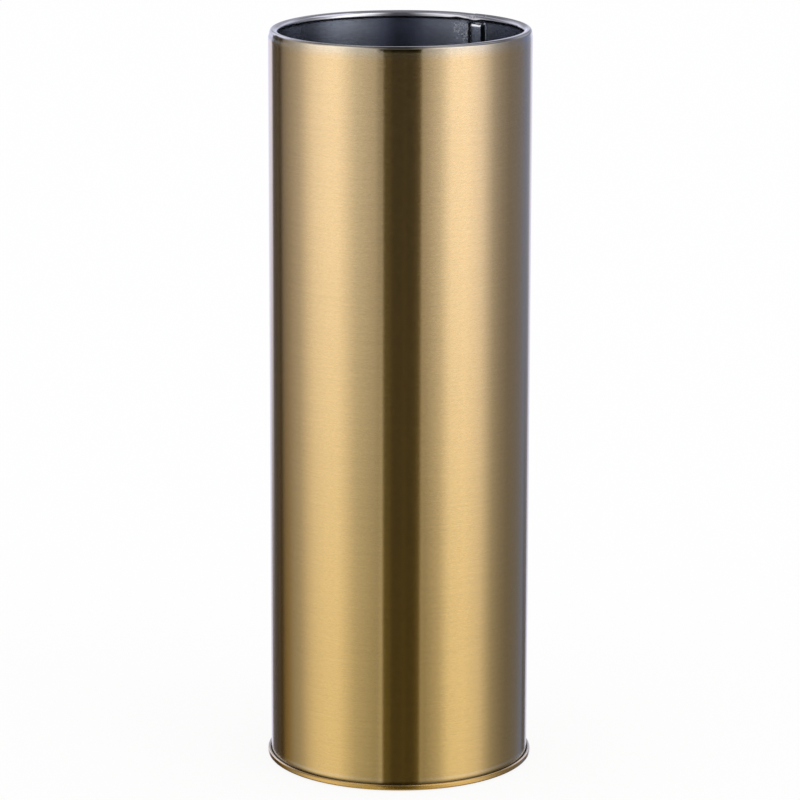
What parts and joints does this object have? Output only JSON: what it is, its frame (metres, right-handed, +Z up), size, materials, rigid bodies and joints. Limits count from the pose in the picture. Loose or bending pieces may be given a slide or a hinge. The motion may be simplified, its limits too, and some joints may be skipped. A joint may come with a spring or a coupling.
{
  "type": "umbrella stand",
  "caption": "Tall round open-topped sheet-metal umbrella stand with a rolled rim, an inner lock seam, a double-seamed foot and a lift-out drip tray.",
  "frame": {"origin": "on the floor, under the middle of the stand", "axes": "+Z up along the stand's axis, -Y towards the front, +X to the right of someone facing the front; the lock seam is at the back right, 54.2 degrees from +X towards +Y"},
  "size_m": [0.1794, 0.1794, 0.5],
  "materials": {
    "gold_steel": "brushed round the shell, gold-coloured outside, bare grey steel inside",
    "gold_base": "gold-coloured rolled seam, satin",
    "sealant": "dull compound, hidden in the seam",
    "tray_plastic": "black moulded polypropylene, fine spark texture",
    "pad_rubber": "black rubber"
  },
  "bodies": {
    "vessel": {"shell": "gold_steel", "base_plate": "gold_base", "seam_sealant": "sealant", "floor_pad_1": "pad_rubber", "floor_pad_2": "pad_rubber", "floor_pad_3": "pad_rubber", "floor_pad_4": "pad_rubber"},
    "tray": {"drip_tray": "tray_plastic"}
  },
  "joints": [
    {"name": "tray_lift", "type": "slide", "parent": "vessel", "child": "tray", "axis": [0, 0, 1], "range_m": [0, 0.5]}
  ]
}
